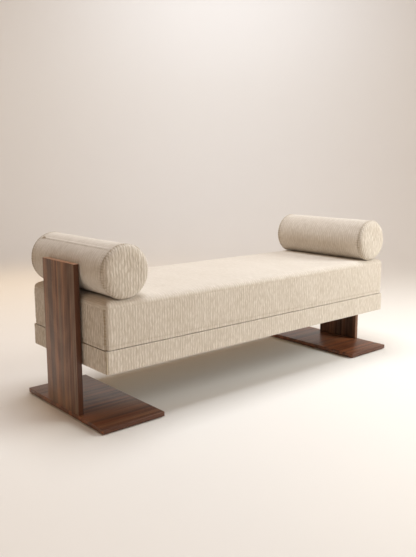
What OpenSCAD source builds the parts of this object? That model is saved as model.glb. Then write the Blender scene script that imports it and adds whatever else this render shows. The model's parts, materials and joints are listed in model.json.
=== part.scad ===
// Daybed: an upholstered base carried between two T-shaped timber legs, a loose
// mattress on the base, and a loose bolster against each post.
// X runs along the bed, Y from the front (-Y) to the back, Z up from the floor.
// The origin is on the floor, under the middle of the bed.

/* [Overall] */
// Length of the mattress
bed_l = 1900; // [1400:10:2300]
// Depth of the mattress, front to back
bed_d = 655; // [500:5:1000]
// Height from the floor to the underside of the base
under_h = 247; // [150:1:400]

/* [Legs] */
// Length of a foot plate, measured along the bed
plate_l = 312; // [200:1:450]
// How far a foot plate stands out past the mattress, front and back
plate_overhang = 11; // [0:1:60]
// Thickness of a foot plate
plate_t = 21; // [16:0.5:40]
// Width of a post, measured front to back
post_w = 277; // [220:1:400]
// Thickness of a post
post_t = 25; // [22:0.5:45]
// How far a post stands above the mattress
post_rise = 137; // [0:1:300]
// Gap between the mattress's end and a post
post_gap = 6; // [2:0.5:20]
// Rounding of the boards' edges
arris_r = 1.5; // [0.5:0.1:4]
// Thickness of the pad under a foot plate
pad_t = 5; // [2:0.5:12]
// How far the pad stays back from the foot plate's edges
pad_inset = 14; // [4:1:40]

/* [Base] */
// Height of the base, with its cloth
base_h = 98; // [80:1:160]
// How far the base stays inside the mattress's outline
base_inset = 1.5; // [0:0.5:10]
// Thickness of the rails
rail_t = 22; // [18:0.5:35]
// Thickness of the plywood deck
deck_t = 12; // [9:0.5:20]
// Thickness of the foam on the rails' faces
padding_t = 5; // [3:0.5:12]
// Side of a corner block
block_a = 45; // [30:1:60]
// Thickness of the block that the post's bolts pull against
mount_block_t = 24; // [15:1:35]
// Diameter of the air holes in the deck
vent_d = 30; // [15:1:50]
// Distance between air holes, at most
vent_pitch = 240; // [120:10:400]
// Thickness of the non-slip mat on the base
mat_t = 1.5; // [1:0.1:3]
// How far the mat stays back from the base's edges
mat_inset = 60; // [20:5:120]

/* [Mattress] */
// Height of the mattress, with its cover
mattress_h = 203; // [120:1:300]
// Thickness of the soft foam layer on top
topper_t = 45; // [20:1:60]
// Thickness of the upholstery cloth
cloth_t = 2; // [1.5:0.1:3]
// Rounding of the mattress's top edge
top_edge_r = 26; // [12:1:40]
// Rounding of the mattress's lower edge
low_edge_r = 16; // [8:1:30]
// Rounding of the mattress's upright corners
corner_r = 18; // [10:1:40]
// Distance from the mattress's end to the end of its zip
zip_margin = 200; // [60:10:400]
// Height of the zip above the mattress's underside
zip_rise = 32; // [25:1:60]

/* [Bolsters] */
// Diameter of a bolster
bolster_d = 231; // [150:1:300]
// Length of a bolster
bolster_l = 650; // [400:5:1000]
// Rounding of a bolster's ends
bolster_edge_r = 22; // [10:1:40]
// How far a bolster is pressed flat where it lies on the mattress
bolster_press = 4; // [1:0.5:12]
// Gap between a bolster and its post
bolster_gap = 2.5; // [0.5:0.5:10]
// Angle of a bolster's lengthwise seam, from its top towards the post
seam_angle = 33; // [0:1:60]

/* [Hidden] */
$fn = 64;

// Fits
rest_gap = 0.4;       // between bodies that lie on each other
drill_gap = 0.1;      // round a screw in its hole
thread_gap = 0.05;    // round a bolt in its insert
cut_past = 1;         // how far a cutter runs past a face

// Levels
plate_z0 = pad_t;
plate_z1 = plate_z0 + plate_t;
base_z0 = under_h;
base_z1 = base_z0 + base_h;
mattress_z0 = base_z1 + mat_t + rest_gap;
mattress_z1 = mattress_z0 + mattress_h;
post_z1 = mattress_z1 + post_rise;

// Places along the bed
post_x0 = bed_l / 2 + post_gap;
post_x1 = post_x0 + post_t;
plate_x0 = post_x1 - plate_l;
plate_d = bed_d + 2 * plate_overhang;
post_mid_x = (post_x0 + post_x1) / 2;

// Base, from the cloth inwards
base_l = bed_l - 2 * base_inset;
base_d = bed_d - 2 * base_inset;
base_edge_r = 6;
base_corner_r = 12;
frame_l = base_l - 2 * (cloth_t + padding_t);
frame_d = base_d - 2 * (cloth_t + padding_t);
rail_z0 = base_z0 + cloth_t;
deck_z1 = base_z1 - cloth_t;
deck_z0 = deck_z1 - deck_t;
rail_h = deck_z0 - rail_z0;
rail_mid_z = (rail_z0 + deck_z0) / 2;
fold_w = 35;                                  // cloth turned under the rails
cross_x = frame_l / 4;                        // outer cross rails
mount_x0 = frame_l / 2 - rail_t - mount_block_t; // inside face of the mounting block
vent_y = frame_d / 5;                         // rows of air holes, from the middle line
spacer_t = post_x0 - frame_l / 2;
spacer_w = 170;
spacer_h = 64;
window_gap = 1;                               // round the spacer, in cloth and foam

// Screws, bolts and dowels
screw_r = 2;
screw_head_r = 4;
screw_head_h = 2.4;
corner_screw_l = block_a + 14;
corner_screw_dz = 20;
deck_screw_bite = 16;                         // how deep a deck screw goes into a rail
deck_screw_l = deck_t + deck_screw_bite;
cross_screw_l = 60;
cross_screw_rise = 16;                        // lower row, above a rail's underside
cross_screw_drop = deck_screw_bite + 2 * screw_head_r; // upper row, below a rail's top
deck_screw_pitch = 300;
deck_screw_margin = 80;
deck_end_screw_y = 110;
bolt_r = 4;
bolt_head_r = 7.5;
bolt_head_h = 5.3;
bolt_gap = 0.5;
insert_r = 6;
hanger_insert_l = 18;
hanger_bolt_y = 55;
hanger_bolt_dz = 21;
washer_r = 10;
washer_t = 1.6;
foot_bolt_pitch = 62;
foot_insert_l = 50;
foot_head_r = 8;
foot_head_h = 4.4;
dowel_r = 5;
dowel_inset = 30;                             // from the post's edge
dowel_in_plate = 14;
dowel_in_post = 30;

// Cloth under the base and its staples
dust_t = 1;
dust_inset = 12;
staple_l = 11;
staple_w = 1.2;
staple_t = 0.6;
staple_leg = 8;
staple_pitch = 110;

// Zips: the cloth's surface is at z = 0 and the zip runs along Y
zip_w = 7;
tape_t = 1.2;
coil_r = 1.2;
slider_w = 6.4;
slider_l = 12;
slider_h = 4.2;
slider_gap = 0.35;
slider_from_end = 12;
tab_w = 5;
tab_l = 22;
tab_t = 1.2;
mattress_zip_l = bed_l - 2 * zip_margin;
bolster_zip_margin = 10;                      // from a bolster's end seam
bolster_zip_l = bolster_l - 2 * (bolster_edge_r + bolster_zip_margin);

// Bolsters
bolster_r = bolster_d / 2;
bolster_x = post_x0 - bolster_gap - bolster_r;
bolster_z = mattress_z1 + rest_gap + bolster_r - bolster_press;
bolster_seam_y = bolster_l / 2 - bolster_edge_r;

// Colours
walnut = [0.30, 0.17, 0.11];
cloth = [0.80, 0.74, 0.65];
pine = [0.82, 0.68, 0.48];
ply = [0.78, 0.64, 0.45];
foam = [0.93, 0.90, 0.80];
steel = [0.62, 0.63, 0.65];
brass = [0.72, 0.58, 0.28];
black = [0.10, 0.10, 0.10];

// ---------------------------------------------------------------- shapes

// A rectangle with round corners, centred on x and standing on y = 0
module arc_rect(w, h, r_low, r_top) {
    translate([-w / 2, r_low]) square([w, h - r_low - r_top]);
    translate([-w / 2 + r_low, 0]) square([w - 2 * r_low, h / 2]);
    translate([-w / 2 + r_top, h / 2]) square([w - 2 * r_top, h / 2]);
    for (s = [-1, 1]) {
        translate([s * (w / 2 - r_low), r_low]) circle(r_low);
        translate([s * (w / 2 - r_top), h - r_top]) circle(r_top);
    }
}

// A block with round edges, centred on X and Y and standing on z = 0
module eased_block(l, d, h, r_plan, r_low, r_top) {
    intersection() {
        linear_extrude(h) translate([0, -d / 2]) arc_rect(l, d, r_plan, r_plan);
        translate([0, d / 2, 0]) rotate([90, 0, 0]) linear_extrude(d) arc_rect(l, h, r_low, r_top);
        translate([-l / 2, 0, 0]) rotate([90, 0, 90]) linear_extrude(l) arc_rect(d, h, r_low, r_top);
    }
}

// A box centred on X and Y, from z0 to z1
module slab(l, d, z0, z1) {
    translate([-l / 2, -d / 2, z0]) cube([l, d, z1 - z0]);
}

// Draws the right-hand (+X) piece, or its mirror image on the left
module on_side(side) {
    mirror([side < 0 ? 1 : 0, 0, 0]) children();
}

// A countersunk screw: its head is at the origin and it points down
module wood_screw(l, gap = 0) {
    translate([0, 0, -l]) cylinder(h = l, r = screw_r + gap);
    translate([0, 0, -screw_head_h])
        cylinder(h = screw_head_h, r1 = screw_r + gap, r2 = screw_head_r + gap);
}

// ---------------------------------------------------------------- legs

module foot_bolt_set(gap = 0) {
    for (i = [-1:1]) translate([post_mid_x, i * foot_bolt_pitch, plate_z0]) {
        cylinder(h = plate_t + foot_insert_l, r = bolt_r + gap);
        cylinder(h = foot_head_h, r1 = foot_head_r + gap, r2 = bolt_r + gap);
    }
}

module foot_insert_holes() {
    for (i = [-1:1]) translate([post_mid_x, i * foot_bolt_pitch, plate_z1])
        cylinder(h = foot_insert_l, r = insert_r);
}

module dowel_pair() {
    for (s = [-1, 1]) translate([post_mid_x, s * (post_w / 2 - dowel_inset), plate_z1 - dowel_in_plate])
        cylinder(h = dowel_in_plate + dowel_in_post, r = dowel_r);
}

// Cylinders along X at the post's four bolt places
module at_hanger_bolts(x0, l, r) {
    for (s = [-1, 1], t = [-1, 1])
        translate([x0, s * hanger_bolt_y, rail_mid_z + t * hanger_bolt_dz])
            rotate([0, 90, 0]) cylinder(h = l, r = r);
}

module foot_plate(side) {
    color(walnut) on_side(side) difference() {
        translate([plate_x0 + plate_l / 2, 0, plate_z0])
            eased_block(plate_l, plate_d, plate_t, arris_r, arris_r, arris_r);
        foot_bolt_set(drill_gap);
        dowel_pair();
    }
}

module post(side) {
    color(walnut) on_side(side) difference() {
        translate([post_mid_x, 0, plate_z1])
            eased_block(post_t, post_w, post_z1 - plate_z1, arris_r, arris_r, arris_r);
        foot_insert_holes();
        dowel_pair();
        at_hanger_bolts(post_x0 - cut_past, cut_past + hanger_insert_l, insert_r);
    }
}

module floor_pad(side) {
    color(black) on_side(side)
        translate([plate_x0 + pad_inset, -plate_d / 2 + pad_inset, 0])
            cube([plate_l - 2 * pad_inset, plate_d - 2 * pad_inset, pad_t]);
}

module foot_bolts(side) {
    color(steel) on_side(side) foot_bolt_set();
}

module foot_inserts(side) {
    color(brass) on_side(side) difference() {
        foot_insert_holes();
        foot_bolt_set(thread_gap);
    }
}

module dowels(side) {
    color(pine) on_side(side) dowel_pair();
}

module spacer_plate(side) {
    color(black) on_side(side) difference() {
        translate([frame_l / 2, -spacer_w / 2, rail_mid_z - spacer_h / 2])
            cube([spacer_t, spacer_w, spacer_h]);
        at_hanger_bolts(frame_l / 2 - cut_past, spacer_t + 2 * cut_past, bolt_r + bolt_gap);
    }
}

module hanger_inserts(side) {
    color(brass) on_side(side) difference() {
        at_hanger_bolts(post_x0, hanger_insert_l, insert_r);
        at_hanger_bolts(post_x0 - cut_past, hanger_insert_l + 2 * cut_past, bolt_r + thread_gap);
    }
}

module hanger_washers(side) {
    color(steel) on_side(side) difference() {
        at_hanger_bolts(mount_x0 - washer_t, washer_t, washer_r);
        at_hanger_bolts(mount_x0 - washer_t - cut_past, washer_t + 2 * cut_past, bolt_r + bolt_gap);
    }
}

module hanger_bolts(side) {
    grip_x0 = mount_x0 - washer_t;
    color(steel) on_side(side) {
        at_hanger_bolts(grip_x0, post_x0 + hanger_insert_l - grip_x0, bolt_r);
        for (s = [-1, 1], t = [-1, 1])
            translate([grip_x0 - bolt_head_h, s * hanger_bolt_y, rail_mid_z + t * hanger_bolt_dz])
                rotate([0, 90, 0]) cylinder(h = bolt_head_h, r = bolt_head_r, $fn = 6);
    }
}

// ---------------------------------------------------------------- base frame

module corner_screw_set(gap = 0) {
    x0 = frame_l / 2 - rail_t - block_a;
    y0 = frame_d / 2 - rail_t - block_a;
    for (sx = [-1, 1], sy = [-1, 1]) mirror([sx < 0 ? 1 : 0, 0, 0]) mirror([0, sy < 0 ? 1 : 0, 0]) {
        for (t = [-1, 1]) {
            translate([x0, y0 + block_a / 2, rail_mid_z + t * corner_screw_dz])
                rotate([0, -90, 0]) wood_screw(corner_screw_l, gap);
            translate([x0 + block_a / 2, y0, rail_mid_z + t * corner_screw_dz / 2])
                rotate([90, 0, 0]) wood_screw(corner_screw_l, gap);
        }
    }
}

module cross_screw_set(gap = 0) {
    rows = [rail_z0 + cross_screw_rise, deck_z0 - cross_screw_drop];
    for (i = [-1:1], sy = [-1, 1], z = rows)
        mirror([0, sy < 0 ? 1 : 0, 0])
            translate([i * cross_x, frame_d / 2, z])
                rotate([-90, 0, 0]) wood_screw(cross_screw_l, gap);
}

module deck_screw_set(gap = 0) {
    span = frame_l - 2 * deck_screw_margin;
    n = ceil(span / deck_screw_pitch);
    for (i = [0:n], s = [-1, 1])
        translate([-span / 2 + i * span / n, s * (frame_d / 2 - rail_t / 2), deck_z1])
            wood_screw(deck_screw_l, gap);
    for (s = [-1, 1], t = [-1, 1])
        translate([s * (frame_l / 2 - rail_t / 2), t * deck_end_screw_y, deck_z1])
            wood_screw(deck_screw_l, gap);
}

// A long rail at the front (-1) or the back (1)
module long_rail(side) {
    color(pine) difference() {
        translate([0, side * (frame_d / 2 - rail_t / 2), 0]) slab(frame_l, rail_t, rail_z0, deck_z0);
        corner_screw_set(drill_gap);
        cross_screw_set(drill_gap);
        deck_screw_set(drill_gap);
    }
}

module end_rail(side) {
    color(pine) on_side(side) difference() {
        translate([frame_l / 2 - rail_t / 2, 0, 0])
            slab(rail_t, frame_d - 2 * rail_t, rail_z0, deck_z0);
        corner_screw_set(drill_gap);
        deck_screw_set(drill_gap);
        at_hanger_bolts(mount_x0, rail_t + mount_block_t + cut_past, bolt_r + bolt_gap);
    }
}

module mounting_block(side) {
    color(ply) on_side(side) difference() {
        translate([mount_x0 + mount_block_t / 2, 0, 0])
            slab(mount_block_t, spacer_w, rail_z0, deck_z0);
        at_hanger_bolts(mount_x0 - cut_past, mount_block_t + 2 * cut_past, bolt_r + bolt_gap);
    }
}

// A cross rail: -1 left, 0 centre, 1 right
module cross_rail(place) {
    color(pine) difference() {
        translate([place * cross_x, 0, 0]) slab(rail_t, frame_d - 2 * rail_t, rail_z0, deck_z0);
        cross_screw_set(drill_gap);
    }
}

module corner_blocks() {
    color(pine) difference() {
        for (sx = [-1, 1], sy = [-1, 1])
            translate([
                sx * (frame_l / 2 - rail_t - block_a / 2),
                sy * (frame_d / 2 - rail_t - block_a / 2),
                0
            ]) slab(block_a, block_a, rail_z0, deck_z0);
        corner_screw_set(drill_gap);
    }
}

module corner_screws() {
    color(steel) corner_screw_set();
}

module cross_rail_screws() {
    color(steel) cross_screw_set();
}

module deck_panel() {
    span = frame_l - vent_pitch;
    n = ceil(span / vent_pitch);
    color(ply) difference() {
        slab(frame_l, frame_d, deck_z0, deck_z1);
        deck_screw_set(drill_gap);
        for (i = [0:n], s = [-1, 1])
            translate([-span / 2 + i * span / n, s * vent_y, deck_z0 - cut_past])
                cylinder(h = deck_t + 2 * cut_past, d = vent_d);
    }
}

module deck_screws() {
    color(steel) deck_screw_set();
}

// ---------------------------------------------------------------- base upholstery

module inside_base_cloth() {
    translate([0, 0, base_z0 + cloth_t])
        eased_block(
            base_l - 2 * cloth_t, base_d - 2 * cloth_t, base_h - 2 * cloth_t,
            base_corner_r - cloth_t, base_edge_r - cloth_t, base_edge_r - cloth_t
        );
}

// The way through cloth and foam for the two spacer plates
module spacer_windows() {
    for (s = [-1, 1]) translate([s * bed_l / 2, 0, 0])
        slab(
            2 * (spacer_t + base_inset), spacer_w + 2 * window_gap,
            rail_mid_z - spacer_h / 2 - window_gap, rail_mid_z + spacer_h / 2 + window_gap
        );
}

// Foam on a long rail's face: front (-1) or back (1)
module long_padding(side) {
    color(foam) intersection() {
        translate([0, side * (frame_d / 2 + padding_t / 2), 0]) slab(base_l, padding_t, rail_z0, deck_z1);
        inside_base_cloth();
    }
}

module end_padding(side) {
    color(foam) on_side(side) difference() {
        intersection() {
            translate([frame_l / 2 + padding_t / 2, 0, 0]) slab(padding_t, frame_d, rail_z0, deck_z1);
            inside_base_cloth();
        }
        spacer_windows();
    }
}

module base_cover() {
    color(cloth) difference() {
        translate([0, 0, base_z0])
            eased_block(base_l, base_d, base_h, base_corner_r, base_edge_r, base_edge_r);
        inside_base_cloth();
        slab(base_l - 2 * fold_w, base_d - 2 * fold_w, base_z0 - cut_past, base_z0 + cloth_t + cut_past);
        spacer_windows();
    }
}

module dust_cover() {
    color(black) slab(base_l - 2 * dust_inset, base_d - 2 * dust_inset, base_z0 - dust_t, base_z0);
}

// One staple under the base, its crown along X
module staple() {
    z0 = base_z0 - dust_t - staple_t;
    slab(staple_l, staple_w, z0, z0 + staple_t);
    for (s = [-1, 1]) translate([s * (staple_l - staple_w) / 2, 0, 0])
        slab(staple_w, staple_w, z0, z0 + staple_leg);
}

module dust_cover_staples() {
    run_l = frame_l - 2 * rail_t;
    run_d = frame_d - 4 * rail_t;
    n_l = ceil(run_l / staple_pitch);
    n_d = ceil(run_d / staple_pitch);
    color(steel) {
        for (i = [0:n_l], s = [-1, 1])
            translate([-run_l / 2 + i * run_l / n_l, s * (frame_d - rail_t) / 2, 0]) staple();
        for (i = [0:n_d], s = [-1, 1])
            translate([s * (frame_l - rail_t) / 2, -run_d / 2 + i * run_d / n_d, 0])
                rotate([0, 0, 90]) staple();
    }
}

module non_slip_mat() {
    color(black) slab(base_l - 2 * mat_inset, base_d - 2 * mat_inset, base_z1, base_z1 + mat_t);
}

// ---------------------------------------------------------------- zips

module zip_strip(l) {
    translate([-zip_w / 2, -l / 2, -cloth_t + thread_gap]) cube([zip_w, l, tape_t]);
    translate([0, l / 2 - slider_from_end / 2, -cloth_t + thread_gap + tape_t + coil_r / 2])
        rotate([90, 0, 0]) cylinder(h = l - slider_from_end, r = coil_r);
}

// The slit in the cloth that shows the zip
module zip_slit(l) {
    translate([-zip_w / 2 - drill_gap, -l / 2 - drill_gap, -cloth_t - cut_past])
        cube([zip_w + 2 * drill_gap, l + 2 * drill_gap, cloth_t + 2 * cut_past]);
}

// The slider and its pull tab, at the zip's +Y end
module zip_slider(l) {
    z0 = -cloth_t + thread_gap + tape_t;
    y1 = l / 2 - slider_from_end;
    difference() {
        translate([-slider_w / 2, y1 - slider_l, z0 + slider_gap]) cube([slider_w, slider_l, slider_h]);
        translate([0, y1 + cut_past, z0 + coil_r / 2])
            rotate([90, 0, 0]) cylinder(h = slider_l + 2 * cut_past, r = coil_r + slider_gap);
    }
    translate([-tab_w / 2, y1 - slider_l / 2 - tab_l, z0 + slider_gap + slider_h])
        cube([tab_w, tab_l, tab_t]);
}

// ---------------------------------------------------------------- mattress

module inside_mattress_cloth() {
    translate([0, 0, mattress_z0 + cloth_t])
        eased_block(
            bed_l - 2 * cloth_t, bed_d - 2 * cloth_t, mattress_h - 2 * cloth_t,
            corner_r - cloth_t, low_edge_r - cloth_t, top_edge_r - cloth_t
        );
}

// The zip runs along the back, with its slider at the left-hand end
module at_mattress_zip() {
    translate([0, bed_d / 2, mattress_z0 + zip_rise]) rotate([-90, 0, 0]) rotate([0, 0, 90]) children();
}

module mattress_core() {
    color(foam) intersection() {
        inside_mattress_cloth();
        slab(bed_l, bed_d, mattress_z0, mattress_z1 - topper_t);
    }
}

module mattress_topper() {
    color("white") intersection() {
        inside_mattress_cloth();
        slab(bed_l, bed_d, mattress_z1 - topper_t, mattress_z1);
    }
}

module mattress_cover() {
    color(cloth) difference() {
        translate([0, 0, mattress_z0])
            eased_block(bed_l, bed_d, mattress_h, corner_r, low_edge_r, top_edge_r);
        inside_mattress_cloth();
        at_mattress_zip() zip_slit(mattress_zip_l);
    }
}

module mattress_zip() {
    color(cloth) at_mattress_zip() zip_strip(mattress_zip_l);
}

module mattress_zip_slider() {
    color(steel) at_mattress_zip() zip_slider(mattress_zip_l);
}

// ---------------------------------------------------------------- bolsters

// A round-ended roll along Y about the origin, thinned by the given skin
module roll(skin) {
    r = bolster_r - skin;
    l = bolster_l - 2 * skin;
    e = bolster_edge_r - skin;
    rotate([90, 0, 0]) rotate_extrude() {
        translate([0, -l / 2]) square([r - e, l]);
        translate([0, -l / 2 + e]) square([r, l - 2 * e]);
        for (s = [-1, 1]) translate([r - e, s * (l / 2 - e)]) circle(e);
    }
}

// The same roll in its place, with its underside pressed flat
module bolster_body(side, skin) {
    on_side(side) translate([bolster_x, 0, bolster_z]) difference() {
        roll(skin);
        slab(bolster_d, bolster_l, -bolster_d, -bolster_r + bolster_press + skin);
    }
}

module at_bolster_zip(side) {
    on_side(side) translate([bolster_x, 0, bolster_z]) rotate([0, seam_angle, 0])
        translate([0, 0, bolster_r]) children();
}

// The cloth all round a bolster's filling
module bolster_skin(side) {
    difference() {
        bolster_body(side, 0);
        bolster_body(side, cloth_t);
    }
}

// The space that a bolster takes from y0 to y1
module bolster_reach(side, y0, y1) {
    on_side(side) translate([bolster_x, (y0 + y1) / 2, bolster_z])
        slab(bolster_d + cut_past, y1 - y0, -bolster_r, bolster_r + cut_past);
}

module bolster_core(side) {
    color(foam) bolster_body(side, cloth_t);
}

module bolster_cover(side) {
    color(cloth) difference() {
        intersection() {
            bolster_skin(side);
            bolster_reach(side, -bolster_seam_y, bolster_seam_y);
        }
        at_bolster_zip(side) zip_slit(bolster_zip_l);
    }
}

// An end panel, which takes in the roll's rounded edge: front (-1) or back (1)
module bolster_cap(side, end) {
    y_in = end * bolster_seam_y;
    y_out = end * (bolster_l / 2 + cut_past);
    color(cloth) intersection() {
        bolster_skin(side);
        bolster_reach(side, min(y_in, y_out), max(y_in, y_out));
    }
}

module bolster_zip(side) {
    color(cloth) at_bolster_zip(side) zip_strip(bolster_zip_l);
}

module bolster_zip_slider(side) {
    color(steel) at_bolster_zip(side) zip_slider(bolster_zip_l);
}

// ---------------------------------------------------------------- nodes

foot_plate(-1);  // left_foot_plate
post(-1);  // left_post
floor_pad(-1);  // left_floor_pad
foot_bolts(-1);  // left_foot_bolts
foot_inserts(-1);  // left_foot_inserts
dowels(-1);  // left_dowels
spacer_plate(-1);  // left_spacer_plate
hanger_inserts(-1);  // left_hanger_inserts
hanger_bolts(-1);  // left_hanger_bolts
hanger_washers(-1);  // left_hanger_washers
foot_plate(1);  // right_foot_plate
post(1);  // right_post
floor_pad(1);  // right_floor_pad
foot_bolts(1);  // right_foot_bolts
foot_inserts(1);  // right_foot_inserts
dowels(1);  // right_dowels
spacer_plate(1);  // right_spacer_plate
hanger_inserts(1);  // right_hanger_inserts
hanger_bolts(1);  // right_hanger_bolts
hanger_washers(1);  // right_hanger_washers
long_rail(-1);  // front_rail
long_rail(1);  // back_rail
end_rail(-1);  // left_end_rail
end_rail(1);  // right_end_rail
mounting_block(-1);  // left_mounting_block
mounting_block(1);  // right_mounting_block
cross_rail(-1);  // left_cross_rail
cross_rail(0);  // centre_cross_rail
cross_rail(1);  // right_cross_rail
corner_blocks();
corner_screws();
cross_rail_screws();
deck_panel();
deck_screws();
long_padding(-1);  // front_padding
long_padding(1);  // back_padding
end_padding(-1);  // left_end_padding
end_padding(1);  // right_end_padding
base_cover();
dust_cover();
dust_cover_staples();
non_slip_mat();
mattress_core();
mattress_topper();
mattress_cover();
mattress_zip();
mattress_zip_slider();
bolster_core(-1);  // left_bolster_core
bolster_cover(-1);  // left_bolster_cover
bolster_cap(-1, -1);  // left_bolster_front_cap
bolster_cap(-1, 1);  // left_bolster_back_cap
bolster_zip(-1);  // left_bolster_zip
bolster_zip_slider(-1);  // left_bolster_zip_slider
bolster_core(1);  // right_bolster_core
bolster_cover(1);  // right_bolster_cover
bolster_cap(1, -1);  // right_bolster_front_cap
bolster_cap(1, 1);  // right_bolster_back_cap
bolster_zip(1);  // right_bolster_zip
bolster_zip_slider(1);  // right_bolster_zip_slider
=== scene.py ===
import json
import math

import bmesh
import bpy
import numpy as np
from bpy.props import FloatProperty, FloatVectorProperty, PointerProperty
from mathutils import Matrix, Vector, noise

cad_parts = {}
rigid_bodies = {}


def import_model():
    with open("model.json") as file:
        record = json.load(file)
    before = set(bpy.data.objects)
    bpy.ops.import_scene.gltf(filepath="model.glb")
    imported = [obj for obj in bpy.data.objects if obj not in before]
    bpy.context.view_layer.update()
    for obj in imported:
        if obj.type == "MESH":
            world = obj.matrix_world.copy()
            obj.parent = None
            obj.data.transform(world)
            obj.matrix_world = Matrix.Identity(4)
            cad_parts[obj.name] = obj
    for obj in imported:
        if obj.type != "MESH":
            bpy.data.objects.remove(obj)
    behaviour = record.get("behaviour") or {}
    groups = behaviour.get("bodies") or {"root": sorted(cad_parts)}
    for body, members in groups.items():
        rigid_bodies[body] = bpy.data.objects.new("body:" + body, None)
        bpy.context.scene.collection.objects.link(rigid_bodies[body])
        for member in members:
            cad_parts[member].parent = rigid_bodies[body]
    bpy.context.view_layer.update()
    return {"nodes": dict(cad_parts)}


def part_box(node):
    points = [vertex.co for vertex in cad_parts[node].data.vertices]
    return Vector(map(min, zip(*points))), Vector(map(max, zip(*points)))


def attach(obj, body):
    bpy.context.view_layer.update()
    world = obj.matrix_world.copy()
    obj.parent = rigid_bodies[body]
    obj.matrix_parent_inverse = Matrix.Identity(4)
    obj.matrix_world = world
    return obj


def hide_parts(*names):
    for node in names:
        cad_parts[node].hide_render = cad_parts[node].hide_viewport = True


bl_info = {
    "name": "Walnut Daybed",
    "version": (1, 0, 0),
    "blender": (4, 5, 0),
    "location": "View3D > Sidebar > Daybed",
    "description": "Builds the boards, upholstery, zips and finishes of a daybed round its frame",
    "category": "Add Mesh",
}

SIDES = {"left": -1, "right": 1}
NOWHERE = 9.0  # metres along a board, past any board's end
SLIT_DEPTH = 0.0016  # how far the cloth is pressed in under a zip

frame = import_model()


# ------------------------------------------------------------------ settings


def length(name, description, default, low=0.0, high=0.2):
    """A size in metres that a user can change."""
    return FloatProperty(
        name=name, description=description, default=default, min=low, max=high, unit="LENGTH", precision=4
    )


def colour(name, description, default):
    """A colour that a user can change."""
    return FloatVectorProperty(
        name=name, description=description, default=default, size=3, min=0, max=1, subtype="COLOR"
    )


class DaybedCloth(bpy.types.PropertyGroup):
    """The ribbed upholstery cloth."""

    light: colour("Raised yarn", "Colour of the raised ribs", (0.745, 0.685, 0.605))
    # partly the yarn's own colour, partly painted shade in the hollows between the ribs
    dark: colour("Sunken yarn and hollow shade", "Colour between the ribs", (0.355, 0.283, 0.195))
    spacing: length("Rib spacing", "Distance from rib to rib", 0.0138, 0.003, 0.03)
    relief: length("Rib relief", "How high the ribs stand", 0.0019, 0.0, 0.005)


class DaybedSewing(bpy.types.PropertyGroup):
    """Seams, gathers and stuffing."""

    swell: length("Swell", "How far the mattress's cover stands off its foam", 0.004, 0.0, 0.02)
    bolster_swell: length("Bolster swell", "How far a bolster's cover stands off its filling", 0.0035, 0.0, 0.02)
    seam_depth: length("Seam depth", "How far a seam is drawn in", 0.0021, 0.0, 0.006)
    top_seam: length("Top seam", "How far the top seam lies below the top", 0.03, 0.01, 0.08)
    low_seam: length("Lower seam", "How far the lower seam lies above the underside", 0.016, 0.008, 0.05)
    corner_seam: length("Corner seam", "How far the end panel's seam lies from the corner", 0.0145, 0.005, 0.05)
    gather: length("Gathers", "How high the gathers beside a seam stand", 0.0019, 0.0, 0.004)
    gather_step: length("Gather spacing", "Distance from gather to gather", 0.014, 0.006, 0.04)
    dent: length("Dent", "How deep a bolster presses into the mattress", 0.002, 0.0, 0.004)


class DaybedWood(bpy.types.PropertyGroup):
    """The walnut of the legs."""

    light: colour("Light grain", "Colour of the palest walnut", (0.37, 0.178, 0.092))
    grey: colour("Grey grain", "Colour of the dull streaks", (0.21, 0.14, 0.093))
    dark: colour("Dark grain", "Colour of the darkest walnut", (0.07, 0.031, 0.018))
    # the dark edge colour is partly darker edge grain and partly painted shade on edges turned from the light
    edge: colour("Board edges", "Colour of the boards' narrow edges", (0.12, 0.045, 0.022))
    edge_round: length("Edge rounding", "Rounding of the boards' edges", 0.0015, 0.0003, 0.004)


class DaybedStudio(bpy.types.PropertyGroup):
    """Camera, light and floor."""

    floor: colour("Floor", "Colour of the floor and the wall behind", (0.835, 0.80, 0.745))
    camera_yaw: FloatProperty(
        name="Camera yaw", description="Turn of the view from +Y towards +X",
        default=math.radians(40.7), subtype="ANGLE", unit="ROTATION",
    )
    camera_pitch: FloatProperty(
        name="Camera pitch", description="Tilt of the view above the horizon",
        default=math.radians(-10.0), subtype="ANGLE", unit="ROTATION",
    )
    camera_place: FloatVectorProperty(
        name="Camera place", description="Where the camera stands", size=3,
        default=(-2.3085, -2.5368, 1.1012), subtype="TRANSLATION", unit="LENGTH",
    )
    lens: FloatProperty(name="Lens", description="Focal length", default=42.4, min=10, max=200, unit="CAMERA")


def cloth_set():
    return bpy.context.scene.daybed_cloth


def sewing():
    return bpy.context.scene.daybed_sewing


def wood_set():
    return bpy.context.scene.daybed_wood


# ------------------------------------------------------------------ shader trees


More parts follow.
